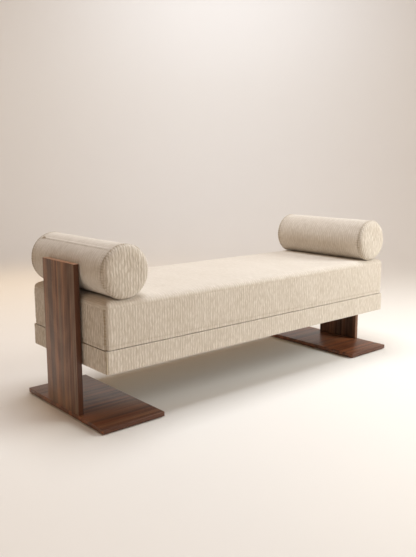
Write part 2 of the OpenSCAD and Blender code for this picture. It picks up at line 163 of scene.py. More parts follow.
class Tree:
    """Adds nodes to a material's or a group's tree."""

    def __init__(self, tree):
        self.tree = tree

    def put(self, socket, value):
        """Links a socket to another, or sets its value."""
        if isinstance(value, bpy.types.NodeSocket):
            self.tree.links.new(value, socket)
        else:
            socket.default_value = value

    def node(self, kind, inputs=None, **settings):
        made = self.tree.nodes.new("ShaderNode" + kind)
        for name, value in settings.items():
            setattr(made, name, value)
        for key, value in (inputs or {}).items():
            self.put(made.inputs[key], value)
        return made

    def math(self, operation, a, b=0.0, c=0.0, clamp=False):
        made = self.node("Math", {0: a, 1: b, 2: c}, operation=operation, use_clamp=clamp)
        return made.outputs[0]

    def blend(self, factor, a, b):
        """Colour a at factor 0, colour b at factor 1."""
        made = self.node("Mix", {0: factor}, data_type="RGBA")
        for socket, value in ((made.inputs[6], a), (made.inputs[7], b)):
            self.put(socket, value)
        return made.outputs[2]

    def noise(self, vector, detail=2.0, roughness=0.5):
        """Noise whose cells are one unit of the vector wide."""
        inputs = {"Vector": vector, "Scale": 1.0, "Detail": detail, "Roughness": roughness}
        return self.node("TexNoise", inputs).outputs[0]

    def stretch(self, vector, x, y, z=1.0):
        """The vector with each part multiplied."""
        made = self.node("VectorMath", {0: vector, 1: (x, y, z)}, operation="MULTIPLY")
        return made.outputs[0]

    def spread(self, value, low, high):
        """The value as 0 at low and 1 at high, with soft ends."""
        inputs = {"Value": value, "From Min": low, "From Max": high}
        return self.node("MapRange", inputs, interpolation_type="SMOOTHSTEP").outputs[0]

    def split(self, vector):
        return self.node("SeparateXYZ", {0: vector}).outputs


def new_group(name, inputs, outputs):
    """An empty node group with the given sockets. Returns its Tree, its inputs and its output node."""
    group = bpy.data.node_groups.new(name, "ShaderNodeTree")
    for socket, kind in inputs.items():
        group.interface.new_socket(socket, in_out="INPUT", socket_type="NodeSocket" + kind)
    for socket, kind in outputs.items():
        group.interface.new_socket(socket, in_out="OUTPUT", socket_type="NodeSocket" + kind)
    entry = group.nodes.new("NodeGroupInput")
    leave = group.nodes.new("NodeGroupOutput")
    return Tree(group), entry.outputs, leave.inputs


FINISH = {"Color": "Color", "Roughness": "Float", "Height": "Float"}


def weave_group():
    """Ribs of slubby yarn. The vector is in metres: x across the ribs, y along them."""
    wanted = {"Vector": "Vector", "Spacing": "Float", "Contrast": "Float", "Crease": "Float"}
    wanted |= {"Light": "Color", "Dark": "Color"}
    t, given, out = new_group("ribbed_weave", wanted, FINISH)
    place = given["Vector"]
    across, along, _ = t.split(place)
    wander = t.math("SUBTRACT", t.noise(t.stretch(place, 22, 16), 2), 0.5)
    ripple = t.math("SUBTRACT", t.noise(t.stretch(place, 75, 40), 2), 0.5)
    bent = t.math("MULTIPLY_ADD", wander, 0.014, across)
    bent = t.math("MULTIPLY_ADD", ripple, 0.008, bent)
    turn = t.math("DIVIDE", t.math("MULTIPLY", bent, 2 * math.pi), given["Spacing"])
    rib = t.math("MULTIPLY_ADD", t.math("SINE", turn), 0.5, 0.5)
    half = t.math("MULTIPLY_ADD", t.math("SINE", t.math("MULTIPLY_ADD", turn, 2.0, 1.2)), 0.5, 0.5)
    bent_place = t.node("CombineXYZ", {0: bent, 1: along}).outputs[0]
    broken = t.spread(t.noise(t.stretch(bent_place, 95, 36), 1), 0.34, 0.62)
    strand = t.spread(t.noise(t.stretch(bent_place, 150, 24), 2, 0.6), 0.32, 0.68)
    slub = t.spread(t.noise(t.stretch(bent_place, 70, 9), 2, 0.5), 0.52, 0.7)
    yarn = t.noise(t.stretch(place, 900, 620), 2, 0.6)
    height = t.math("MULTIPLY", rib, t.math("MULTIPLY_ADD", broken, 0.52, 0.12))
    height = t.math("MULTIPLY_ADD", half, 0.1, height)
    height = t.math("MULTIPLY_ADD", strand, 0.3, height)
    height = t.math("MULTIPLY_ADD", slub, 0.14, height)
    height = t.math("MULTIPLY_ADD", yarn, 0.12, height)
    tone = t.math("SUBTRACT", t.noise(t.stretch(place, 7, 3.2), 3, 0.55), 0.5)
    patch = t.math("SUBTRACT", t.noise(t.stretch(place, 34, 20), 2, 0.6), 0.5)
    # the hollows between the ribs take the sunken yarn colour: partly the yarn itself, partly painted shade
    shade = t.math("MULTIPLY", t.math("SUBTRACT", height, 0.5), t.math("MULTIPLY", given["Contrast"], 0.85))
    shade = t.math("MULTIPLY_ADD", tone, 0.22, shade)
    shade = t.math("MULTIPLY_ADD", patch, 0.14, shade)
    # painted light and shade: weaker ribs paint a panel lighter and stronger ribs paint it darker, so the top and
    # the long sides come out lighter than the ends
    shade = t.math("MULTIPLY_ADD", given["Contrast"], -0.22, shade)
    # painted shade: seams and the hollows of gathers are darkened
    shade = t.math("MULTIPLY_ADD", given["Crease"], -0.75, shade)
    shade = t.math("ADD", shade, 0.74, clamp=True)
    t.put(out["Color"], t.blend(shade, given["Dark"], given["Light"]))
    t.put(out["Roughness"], t.math("MULTIPLY_ADD", shade, -0.12, 0.96))
    t.put(out["Height"], t.math("MULTIPLY", height, given["Contrast"]))
    return t.tree


def timber_group():
    """Grain of a sawn board. The vector is in metres: x across, y through, z along the grain."""
    wanted = {"Vector": "Vector", "Rings": "Float", "Pores": "Float", "Half": "Float", "End": "Float"}
    wanted |= {"Light": "Color", "Dark": "Color", "Grey": "Color", "Edge": "Color"}
    t, given, out = new_group("timber_grain", wanted, FINISH)
    place = given["Vector"]
    across, through, along = t.split(place)
    sway = t.math("SUBTRACT", t.noise(t.stretch(place, 3.0, 3.0, 1.7), 3), 0.5)
    sweep = t.math("SUBTRACT", t.noise(t.stretch(place, 9.0, 9.0, 2.6), 2), 0.5)
    from_heart = t.math("MULTIPLY_ADD", sway, 0.05, across)
    depth = t.math("MULTIPLY_ADD", along, 0.07, t.math("ADD", through, 0.05))
    reach = t.node("CombineXYZ", {0: from_heart, 1: depth}).outputs[0]
    radius = t.node("VectorMath", {0: reach}, operation="LENGTH").outputs["Value"]
    radius = t.math("MULTIPLY_ADD", sweep, 0.02, radius)
    ring = t.math("SINE", t.math("DIVIDE", t.math("MULTIPLY", radius, 2 * math.pi), given["Rings"]))
    ring = t.math("POWER", t.math("MULTIPLY_ADD", ring, 0.5, 0.5), 1.7)
    band = t.spread(t.noise(t.stretch(place, 42, 42, 0.75), 2, 0.6), 0.36, 0.64)
    streak = t.noise(t.stretch(place, 150, 150, 3.2), 4, 0.62)
    pore = t.noise(t.stretch(place, 1150, 1150, 46), 2, 0.55)
    pit = t.math("MULTIPLY", t.spread(pore, 0.56, 0.72), given["Pores"])
    shade = t.math("MULTIPLY_ADD", ring, 0.16, t.math("MULTIPLY", band, 0.5))
    shade = t.math("MULTIPLY_ADD", t.math("SUBTRACT", streak, 0.5), 1.7, shade)
    shade = t.math("MULTIPLY_ADD", pit, -0.28, shade)
    shade = t.math("ADD", shade, 0.16, clamp=True)
    dull = t.spread(t.noise(t.stretch(place, 26, 26, 0.6), 2, 0.6), 0.42, 0.6)
    pale = t.blend(t.math("MULTIPLY", dull, 0.85), given["Light"], given["Grey"])
    face = t.blend(shade, given["Dark"], pale)
    # the narrow edges take the edge colour: painted shade on most boards, painted light on the right post
    past_edge = t.math("GREATER_THAN", t.math("ABSOLUTE", across), given["Half"])
    face = t.blend(past_edge, face, t.blend(shade, given["Dark"], given["Edge"]))
    # painted light: the end grain at the post's top is painted in the palest walnut, standing for light from
    # above
    past_lit_top = t.math("GREATER_THAN", along, given["End"])
    lit_top_shade = t.math("MULTIPLY_ADD", shade, 0.4, 0.6)
    t.put(out["Color"], t.blend(past_lit_top, face, t.blend(lit_top_shade, given["Dark"], given["Light"])))
    t.put(out["Roughness"], t.math("MULTIPLY_ADD", streak, 0.16, t.math("MULTIPLY_ADD", pit, 0.2, 0.26)))
    t.put(out["Height"], t.math("MULTIPLY_ADD", streak, 0.3, t.math("MULTIPLY", pit, -0.7)))
    return t.tree


def mottle_group():
    """Uneven colour, roughness and relief for metal, rubber and foam, one unit of the vector a grain."""
    wanted = {"Vector": "Vector", "Light": "Color", "Dark": "Color", "Rough": "Float", "Wear": "Float"}
    t, given, out = new_group("mottled_surface", wanted, FINISH)
    grain = t.noise(given["Vector"], 3, 0.6)
    cloud = t.noise(t.stretch(given["Vector"], 0.12, 0.12, 0.12), 3, 0.55)
    scuff = t.spread(t.noise(t.stretch(given["Vector"], 0.5, 0.05, 0.05), 2, 0.6), 0.58, 0.74)
    shade = t.math("MULTIPLY_ADD", grain, 0.5, t.math("MULTIPLY", cloud, 0.5))
    shade = t.math("MULTIPLY_ADD", scuff, given["Wear"], shade, clamp=True)
    t.put(out["Color"], t.blend(shade, given["Dark"], given["Light"]))
    rough = t.math("MULTIPLY_ADD", t.math("SUBTRACT", shade, 0.5), 0.3, given["Rough"], clamp=True)
    t.put(out["Roughness"], rough)
    t.put(out["Height"], grain)
    return t.tree


def group_named(name, make):
    return bpy.data.node_groups.get(name) or make()


def rgba(values, gain=1.0):
    return tuple(min(1.0, v * gain) for v in values) + (1.0,)


def finish_material(name, group, inputs, relief, sockets=None):
    """A Principled material whose colour, roughness and relief come from a group."""
    material = bpy.data.materials.new(name)
    material.use_nodes = True
    t = Tree(material.node_tree)
    shader = material.node_tree.nodes["Principled BSDF"]
    made = t.node("Group", node_tree=group)
    for key, value in inputs(t).items():
        t.put(made.inputs[key], value)
    bump = t.node("Bump", {"Strength": 1.0, "Distance": relief, "Height": made.outputs["Height"]})
    t.put(shader.inputs["Base Color"], made.outputs["Color"])
    t.put(shader.inputs["Roughness"], made.outputs["Roughness"])
    t.put(shader.inputs["Normal"], bump.outputs[0])
    for key, value in (sockets or {}).items():
        shader.inputs[key].default_value = value
    return material


def object_place(t):
    return t.node("TexCoord").outputs["Object"]


def cloth_material(name):
    """Ribbed cloth. A piece's UV map "cloth", in metres, lays out the ribs.

    Its attributes give the ribs' strength, which also sets how light each panel is painted, and the painted shade
    in seams and folds.
    """
    cloth = cloth_set()

    def inputs(t):
        return {
            "Vector": t.node("UVMap", uv_map="cloth").outputs[0],
            "Spacing": cloth.spacing,
            "Contrast": t.node("Attribute", attribute_name="ribs").outputs["Fac"],
            "Crease": t.node("Attribute", attribute_name="crease").outputs["Fac"],
            "Light": rgba(cloth.light),
            "Dark": rgba(cloth.dark),
        }

    group = group_named("ribbed_weave", weave_group)
    sockets = {"Sheen Weight": 0.22, "Sheen Roughness": 0.45, "Specular IOR Level": 0.25}
    return finish_material(name, group, inputs, cloth.relief, sockets)


def timber_material(
    name, order, light, dark, grey=None, edge=None, half=NOWHERE, end=NOWHERE, rings=0.011, pores=1.0, coat=0.0
):
    """Wood. order gives the axes that run across, through and along the grain.

    The narrow edges start at half, across the grain, and the end grain, painted pale as painted light on a lit
    top, at end, along it.
    """

    def inputs(t):
        parts = t.split(object_place(t))
        turned = {i: parts[axis] for i, axis in enumerate(order)}
        turned = t.node("CombineXYZ", turned).outputs[0]
        return {
            "Vector": turned, "Rings": rings, "Pores": pores, "Half": half, "End": end,
            "Light": rgba(light), "Dark": rgba(dark), "Grey": rgba(grey or light), "Edge": rgba(edge or light),
        }

    group = group_named("timber_grain", timber_group)
    sockets = {"Coat Weight": coat, "Coat Roughness": 0.3, "Specular IOR Level": 0.36}
    return finish_material(name, group, inputs, 0.00012, sockets)


def mottled_material(name, light, dark, rough, grain, metallic=0.0, relief=0.0001, wear=0.0, stretch=(1, 1, 1)):
    """Metal, rubber or foam. grain is the size of its smallest marks, in metres."""

    def inputs(t):
        scale = [part / grain for part in stretch]
        place = t.stretch(object_place(t), *scale)
        return {"Vector": place, "Light": rgba(light), "Dark": rgba(dark), "Rough": rough, "Wear": wear}

    group = group_named("mottled_surface", mottle_group)
    return finish_material(name, group, inputs, relief, {"Metallic": metallic})


# ------------------------------------------------------------------ modelling


def select_only(piece):
    """Object mode, with one piece selected and active."""
    active = bpy.context.view_layer.objects.active
    if active and active.mode != "OBJECT":
        bpy.ops.object.mode_set(mode="OBJECT")
    bpy.ops.object.select_all(action="DESELECT")
    piece.select_set(True)
    bpy.context.view_layer.objects.active = piece


def apply_modifier(piece, kind, **settings):
    """Adds a modifier and applies it."""
    select_only(piece)
    bpy.ops.object.modifier_add(type=kind)
    modifier = piece.modifiers[-1]
    for name, value in settings.items():
        setattr(modifier, name, value)
    bpy.ops.object.modifier_apply(modifier=modifier.name)


def shade(piece, angle=35):
    select_only(piece)
    bpy.ops.object.shade_smooth_by_angle(angle=math.radians(angle))


def smooth(piece):
    select_only(piece)
    bpy.ops.object.shade_smooth()


def flat_sheet(name, node, columns, rows):
    """A level grid as long and as wide as a CAD node, and the node's corners."""
    low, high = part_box(node)
    bpy.ops.object.select_all(action="DESELECT")
    bpy.ops.mesh.primitive_grid_add(x_subdivisions=columns, y_subdivisions=rows, size=1)
    piece = bpy.context.object
    piece.name = name
    piece.scale = (high.x - low.x, high.y - low.y, 1)
    bpy.ops.object.transform_apply(location=True, rotation=True, scale=True)
    return piece, low, high


def block(name, low, high):
    """A cuboid between two corners."""
    bpy.ops.object.select_all(action="DESELECT")
    middle = (Vector(low) + Vector(high)) / 2
    bpy.ops.mesh.primitive_cube_add(size=1, location=middle, scale=Vector(high) - Vector(low))
    piece = bpy.context.object
    piece.name = name
    bpy.ops.object.transform_apply(location=True, rotation=True, scale=True)
    return piece


def select_in_edit(piece, kind, wanted):
    """Edit mode, with the vertices, edges or faces selected for which wanted(element) is true."""
    select_only(piece)
    bpy.ops.object.mode_set(mode="EDIT")
    bpy.ops.mesh.select_mode(type={"verts": "VERT", "edges": "EDGE", "faces": "FACE"}[kind])
    bpy.ops.mesh.select_all(action="DESELECT")
    mesh = bmesh.from_edit_mesh(piece.data)
    for element in getattr(mesh, kind):
        if wanted(element):
            element.select = True
    mesh.select_flush_mode()
    bmesh.update_edit_mesh(piece.data)


def bevel(piece, offset, segments, wanted=lambda edge: True):
    """Rounds the wanted edges."""
    select_in_edit(piece, "edges", wanted)
    bpy.ops.mesh.bevel(offset=offset, segments=segments, clamp_overlap=True)
    bpy.ops.object.mode_set(mode="OBJECT")


def upright(edge):
    """True for an edge that runs along Z."""
    run = edge.verts[0].co - edge.verts[1].co
    return abs(run.z) > 0.99 * run.length


def points_of(piece):
    """The vertices' places as an array."""
    places = np.zeros(len(piece.data.vertices) * 3)
    piece.data.vertices.foreach_get("co", places)
    return places.reshape(-1, 3)


def normals_of(piece):
    """The vertices' normals as an array."""
    piece.data.update()
    found = np.zeros(len(piece.data.vertices) * 3, np.float32)
    piece.data.vertex_normals.foreach_get("vector", found)
    return found.reshape(-1, 3).astype(float)


def set_points(piece, places):
    piece.data.vertices.foreach_set("co", np.asarray(places, np.float32).ravel())
    piece.data.update()


def store(piece, **values):
    """Stores each named value at the vertices: ribs for their strength and for how light each panel is painted,
    crease for the painted shade in a seam or fold.
    """
    for name, value in values.items():
        layer = piece.data.attributes.new(name, "FLOAT", "POINT")
        layer.data.foreach_set("value", np.asarray(value, np.float32))


def noise_at(places, size, offset=0.0):
    """Smooth noise from -1 to 1 at each place, with lumps of the given size."""
    shift = Vector((offset, 2.7 * offset, -1.3 * offset))
    return np.array([noise.noise(Vector(p) / size + shift) for p in places])


def bump_at(distance, width):
    """1 at distance 0, falling off smoothly over the width."""
    return np.exp(-((distance / width) ** 2))


def place_piece(piece, body, material, nodes=()):
    """Gives a finished piece its material, its body and the nodes that it stands for."""
    piece.data.materials.clear()
    piece.data.materials.append(material)
    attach(piece, body)
    if nodes:
        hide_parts(*nodes)
    return piece


def mesh_piece(name, places, faces, uvs=None):
    """A mesh object from its places, faces and, in metres, each face's UVs."""
    mesh = bpy.data.meshes.new(name)
    mesh.from_pydata([tuple(p) for p in places], [], faces)
    mesh.update()
    if uvs is not None:
        layer = mesh.uv_layers.new(name="cloth")
        layer.data.foreach_set("uv", np.asarray(uvs, np.float32).ravel())
    piece = bpy.data.objects.new(name, mesh)
    bpy.context.scene.collection.objects.link(piece)
    return piece


# ------------------------------------------------------------------ soft shapes


def stations(low, high, border, fine, coarse, marks=()):
    """Places for grid lines from low to high: close together near both ends and at the marks."""
    near = np.arange(0, border, fine)
    count = max(1, round((high - low - 2 * border) / coarse))
    middle = np.linspace(low + border, high - border, count + 1)
    places = np.concatenate([low + near, middle, high - near])
    for mark in marks:
        places = places[abs(places - mark) > 0.75 * fine]
        places = np.append(places, mark)
    return np.unique(np.round(places, 6))


class Casing:
    """A sewn box of cloth: a closed grid of quads, with lines where the seams and openings run."""

    def __init__(self, name, xs, ys, zs, keep=lambda side, middle: True, top_from=None):
        self.lines = (xs, ys, zs)
        self.low = np.array([xs[0], ys[0], zs[0]])
        self.high = np.array([xs[-1], ys[-1], zs[-1]])
        self.keep = keep
        self.top_from = self.high[2] if top_from is None else top_from
        self.index, self.flat, faces, uvs = {}, [], [], []
        for axis in range(3):
            for end in (0, 1):
                self.add_side(axis, end, faces, uvs)
        self.flat = np.array(self.flat)
        self.piece = mesh_piece(name, self.flat, faces, uvs)

    def corner(self, key):
        if key not in self.index:
            self.index[key] = len(self.flat)
            self.flat.append([self.lines[i][key[i]] for i in range(3)])
        return self.index[key]

    def uv_of(self, axis, end, place):
        """Across and along the ribs, in metres, with the top panel folded down to its seam."""
        x, y, z = place
        if axis == 2:
            return x, y
        beyond = (1 if end else -1) * (self.high[2] - z)
        if axis == 1:
            return (x, y + beyond) if z >= self.top_from else (x, z)
        return (x + beyond, y) if z >= self.top_from else (y, z)

    def add_side(self, axis, end, faces, uvs):
        """The quads of one side of the box, wound so that they face outwards."""
        first, second = [a for a in range(3) if a != axis]
        fixed = (len(self.lines[axis]) - 1) * end
        outwards = (end == 1) == (axis != 1)
        for i in range(len(self.lines[first]) - 1):
            for j in range(len(self.lines[second]) - 1):
                ring = [(i, j), (i + 1, j), (i + 1, j + 1), (i, j + 1)]
                ring = ring if outwards else ring[::-1]
                keys = []
                for a, b in ring:
                    key = [0, 0, 0]
                    key[axis], key[first], key[second] = fixed, a, b
                    keys.append(tuple(key))
                places = [[self.lines[k][key[k]] for k in range(3)] for key in keys]
                middle = np.mean(places, axis=0)
                if not self.keep((axis, end), middle):
                    continue
                faces.append([self.corner(key) for key in keys])
                if middle[2] < self.top_from:
                    places = [p[:2] + [min(p[2], self.top_from - 1e-5)] for p in places]
                uvs.extend(self.uv_of(axis, end, p) for p in places)


def stuffed(name, nodes, voxel, swell, pressure=4.0, steps=20):
    """The foam of the given CAD nodes as one skin, blown up as cloth by its own pressure."""
    bpy.ops.object.select_all(action="DESELECT")
    copies = []
    for node in nodes:
        copy = frame["nodes"][node].copy()
        copy.data = copy.data.copy()
        copy.parent = None
        for key in list(copy.keys()):
            del copy[key]
        bpy.context.scene.collection.objects.link(copy)
        copy.hide_viewport = copy.hide_render = False
        copy.hide_set(False)
        copies.append(copy)
    for copy in copies:
        copy.select_set(True)
    bpy.context.view_layer.objects.active = copies[0]
    if len(copies) > 1:
        bpy.ops.object.join()
    skin = bpy.context.view_layer.objects.active
    skin.name = name
    select_in_edit(skin, "verts", lambda vert: True)
    bpy.ops.mesh.remove_doubles(threshold=0.00005)
    bpy.ops.object.mode_set(mode="OBJECT")
    apply_modifier(skin, "REMESH", mode="VOXEL", voxel_size=voxel)
    before, outwards = points_of(skin), normals_of(skin)
    select_only(skin)
    bpy.ops.object.modifier_add(type="CLOTH")
    cloth = skin.modifiers[-1]
    cloth.settings.quality = 4
    cloth.settings.use_pressure = True
    cloth.settings.uniform_pressure_force = pressure
    cloth.settings.effector_weights.gravity = 0
    cloth.point_cache.frame_start = 1
    cloth.point_cache.frame_end = steps
    for step in range(1, steps + 1):
        bpy.context.scene.frame_set(step)
    bpy.ops.object.modifier_apply(modifier=cloth.name)
    bpy.context.scene.frame_set(1)
    puff = ((points_of(skin) - before) * outwards).sum(axis=1)
    puff = np.maximum(swell * np.tanh(puff / swell), -0.001)
    set_points(skin, before + outwards * puff[:, None])
    apply_modifier(skin, "SMOOTH", factor=0.5, iterations=4)
    apply_modifier(skin, "SUBSURF", levels=1, render_levels=1)
    return skin


def wrap_on(piece, skin):
    """Lays a piece's grid on a skin, and removes the skin."""
    apply_modifier(piece, "SHRINKWRAP", target=skin, wrap_method="NEAREST_SURFACEPOINT")
    apply_modifier(piece, "SMOOTH", factor=0.35, iterations=2)
    bpy.data.objects.remove(skin)


def gathers(run, away, step, reach, seed=0.0):
    """Folds that run away from a seam: run is measured along it, away is the distance from it."""
    drift = np.array([noise.noise(Vector((r / (3 * step), seed, 0))) for r in run])
    size = np.array([noise.noise(Vector((r / (2.2 * step), seed, 7))) for r in run])
    wave = np.sin(2 * np.pi * run / step + 3.0 * drift)
    return wave * (0.55 + 0.75 * size) * np.exp(-np.maximum(away, 0) / reach) * (away > 0)


# ------------------------------------------------------------------ stage


class DAYBED_OT_stage(bpy.types.Operator):
    """Makes the floor, the wall behind it, the lights and the camera"""

    bl_idname = "daybed.stage"
    bl_label = "Stage"

    def execute(self, context):
        studio = context.scene.daybed_studio
        self.make_sweep(studio)
        self.make_lights(context)
        bpy.ops.object.camera_add(location=studio.camera_place)
        camera = context.object
        camera.name = "camera"
        yaw, pitch = studio.camera_yaw, studio.camera_pitch
        ahead = Vector((math.sin(yaw) * math.cos(pitch), math.cos(yaw) * math.cos(pitch), math.sin(pitch)))
        camera.rotation_euler = ahead.to_track_quat("-Z", "Y").to_euler()
        camera.data.lens = studio.lens
        camera.data.clip_end = 60
        context.scene.camera = camera
        context.scene.view_settings.view_transform = "Standard"
        return {"FINISHED"}

    def make_sweep(self, studio):
        """A round floor that curves up into a wall, open at the top."""
        floor_r, curve_r, wall_h, steps = 4.2, 2.2, 3.2, 10
        bpy.ops.object.select_all(action="DESELECT")
        bpy.ops.mesh.primitive_circle_add(vertices=128, radius=floor_r, fill_type="NGON")
        sweep = bpy.context.object
        sweep.name = "studio_floor"
        select_in_edit(sweep, "edges", lambda edge: True)
        radius, height = floor_r, 0.0
        for step in range(1, steps + 2):
            angle = min(step, steps) / steps * math.pi / 2
            new_radius = floor_r + curve_r * math.sin(angle)
            new_height = curve_r * (1 - math.cos(angle)) + (wall_h if step > steps else 0.0)
            bpy.ops.mesh.extrude_edges_move(TRANSFORM_OT_translate={"value": (0, 0, new_height - height)})
            scale = new_radius / radius
            bpy.ops.transform.resize(value=(scale, scale, 1), center_override=(0, 0, 0))
            radius, height = new_radius, new_height
        bpy.ops.mesh.select_all(action="SELECT")
        bpy.ops.mesh.normals_make_consistent(inside=True)
        bpy.ops.object.mode_set(mode="OBJECT")
        smooth(sweep)
        fainter = [value * 0.985 for value in studio.floor]
        paper = mottled_material("studio_paper", studio.floor, fainter, 0.9, 0.02, relief=0.0)
        sweep.data.materials.append(paper)

    def make_lights(self, context):
        """A soft key from the front right, light from above and behind, and a warm, weak sky."""
        middle = (0, 0, 0.35)
        lamps = {
            "key": ((2.5, -2.5, 2.18), middle, 1.8, 117.0, (0.94, 0.975, 0.97)),
            "ceiling": ((0.07, 0, 4.3), middle, 2.2, 124.0, (0.9, 0.985, 1.09)),
            "back": ((0, 3.53, 2.18), middle, 1.8, 25.0, (1.0, 0.74, 0.42)),
            "wall": ((2.7, 3.0, 3.9), (5.4, 6.0, 2.4), 2.4, 48.0, (0.97, 1.08, 1.24)),
        }
        for name, (place, target, size, power, tint) in lamps.items():
            bpy.ops.object.light_add(type="AREA", location=place)
            lamp = context.object
            lamp.name = name
            lamp.rotation_euler = (Vector(target) - Vector(place)).to_track_quat("-Z", "Y").to_euler()
            lamp.data.size = size
            lamp.data.energy = power
            lamp.data.color = tint
            lamp.visible_camera = False
            lamp.visible_glossy = name != "back"
        world = bpy.data.worlds.new("studio_sky")
        world.use_nodes = True
        world.node_tree.nodes["Background"].inputs["Color"].default_value = (1.0, 0.5, 0.16, 1)
        world.node_tree.nodes["Background"].inputs["Strength"].default_value = 0.24
        context.scene.world = world


# ------------------------------------------------------------------ boards


def board(name, node):
    """A board with eased edges, the size of its CAD node."""
    low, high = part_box(node)
    piece = block(name, low, high)
    bevel(piece, wood_set().edge_round, 3)
    shade(piece)
    return piece


class DAYBED_OT_legs(bpy.types.Operator):
    """Makes the walnut posts and foot plates"""

    bl_idname = "daybed.legs"
    bl_label = "Legs"

    def execute(self, context):
        wood = wood_set()
        # the right post is tinted darker as painted shade, and the left plate a touch darker than the right as
        # painted shade; the plates' tints also make their walnut redder
        tints_and_shade = {
            "left_post": (1.0, 1.0, 1.0), "right_post": (0.68, 0.66, 0.68),
            "left_foot_plate": (0.97, 0.71, 0.56), "right_foot_plate": (0.99, 0.71, 0.56),
        }
        for side in SIDES:
            for part, order, coat in (("post", (1, 0, 2), 0.0), ("foot_plate", (1, 2, 0), 0.06)):
                node = f"{side}_{part}"
                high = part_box(node)[1]
                half = high.y - 0.001
                # painted light: the post's top is painted pale
                end = high.z - 0.0008 if part == "post" else NOWHERE
                tint = tints_and_shade[node]
                light, dark, grey = ([a * b for a, b in zip(c, tint)] for c in (wood.light, wood.dark, wood.grey))
                # painted light on the right post's edges, painted shade on the edges of the other boards
                edge = wood.light if node == "right_post" else wood.edge
                material = timber_material(f"walnut_{node}", order, light, dark, grey, edge, half, end, coat=coat)
                place_piece(board(f"{node}_board", node), "frame", material, [node])
        return {"FINISHED"}


# ------------------------------------------------------------------ base


class DAYBED_OT_base(bpy.types.Operator):
    """Makes the base's stretched cover, its dust cover and the non-slip mat"""

    bl_idname = "daybed.base"
    bl_label = "Base"

    fold = 0.035
    cloth_t = 0.0015
    dust_sag = 0.0022
    staple_step = 0.11
    held_edge = 0.02

    def execute(self, context):
        self.make_cover()
        self.make_dust_cover()
        self.make_mat()
        return {"FINISHED"}

    def make_cover(self):
        low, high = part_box("base_cover")
        spacer_low, spacer_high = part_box("right_spacer_plate")
        gap = 0.001
        window_y = spacer_high.y + gap
        window_z = (spacer_low.z - gap, spacer_high.z + gap)
        fold_x, fold_y = high.x - self.fold, high.y - self.fold

        def keep(side, middle):
            x, y, z = middle
            if side == (2, 0):
                return abs(x) > fold_x or abs(y) > fold_y
            if side[0] == 0:
                return abs(y) > window_y or not window_z[0] < z < window_z[1]
            return True

        xs = stations(low.x, high.x, 0.04, 0.004, 0.012, [-fold_x, fold_x])
        ys = stations(low.y, high.y, 0.04, 0.004, 0.012, [-fold_y, fold_y, -window_y, window_y])
        zs = stations(low.z, high.z, 0.02, 0.0035, 0.005, window_z)
        casing = Casing("base_upholstery", xs, ys, zs, keep)
        former = block("former", low, high)
        bevel(former, 0.012, 6, upright)
        bevel(former, 0.0016, 3, lambda edge: abs(edge.verts[0].co.z - edge.verts[1].co.z) < 1e-6)
        piece, flat = casing.piece, casing.flat
        wrap_on(piece, former)
        self.sew(piece, flat, high)
        apply_modifier(piece, "SOLIDIFY", thickness=self.cloth_t, offset=-1)
        shade(piece, 60)
        place_piece(piece, "frame", bpy.data.materials["sewn_cloth"], ["base_cover"])

    def sew(self, piece, flat, high):
        """Corner seams with light gathers, and the slight unevenness of stretched cloth."""
        sew = sewing()
        x, y, z = flat.T
        on_end = np.isclose(abs(x), high.x)
        on_side = on_end | np.isclose(abs(y), high.y)
        away = high.y - sew.corner_seam * 0.6 - abs(y)
        folds = gathers(z, away, sew.gather_step, 0.012, 3.0) * on_end
        lift = -0.6 * sew.seam_depth * bump_at(away, 0.0032) * on_end + 0.35 * sew.gather * folds
        lift += 0.0006 * noise_at(flat, 0.08, 5.0) * on_side
        set_points(piece, points_of(piece) + normals_of(piece) * lift[:, None])
        # painted shade in the corner seams and in the hollows of the gathers
        crease = 0.7 * bump_at(away, 0.0036) * on_end + 0.25 * np.clip(-folds, 0, 1)
        # painted light: the long sides get weaker ribs than the ends, so they are painted lighter
        store(piece, ribs=np.where(on_end, 0.95, 0.62), crease=crease)

    def make_dust_cover(self):
        piece, low, high = flat_sheet("dust_cover_cloth", "dust_cover", 150, 56)
        p = points_of(piece)
        inset_x, inset_y = high.x - abs(p[:, 0]), high.y - abs(p[:, 1])
        inset = np.minimum(inset_x, inset_y)
        run = np.where(inset_x < inset_y, p[:, 1], p[:, 0])
        sag = self.dust_sag * (1 - np.exp(-inset / 0.12))
        pull = 0.0007 * np.cos(2 * np.pi * run / self.staple_step) * np.exp(-inset / 0.04)
        p[:, 2] = (low.z + high.z) / 2 + (pull - sag) * (inset > self.held_edge)
        p[:, 2] += 0.0003 * noise_at(p, 0.05, 2.0)
        set_points(piece, p)
        apply_modifier(piece, "SOLIDIFY", thickness=0.0004, offset=0)
        smooth(piece)
        material = mottled_material(
            "dust_cover_weave", (0.055, 0.053, 0.05), (0.02, 0.02, 0.02), 0.85, 0.0022, relief=0.0003
        )
        place_piece(piece, "frame", material, ["dust_cover"])

    def make_mat(self):
        piece, low, high = flat_sheet("non_slip_sheet", "non_slip_mat", 120, 40)
        p = points_of(piece)
        p[:, 2] = low.z + 0.0006 + 0.0002 * noise_at(p, 0.06, 9.0)
        set_points(piece, p)
        apply_modifier(piece, "SOLIDIFY", thickness=0.0008, offset=0)
        smooth(piece)
        material = mottled_material(
            "non_slip_rubber", (0.075, 0.07, 0.065), (0.018, 0.018, 0.018), 0.8, 0.004, relief=0.0008
        )
        place_piece(piece, "frame", material, ["non_slip_mat"])


# ------------------------------------------------------------------ foam


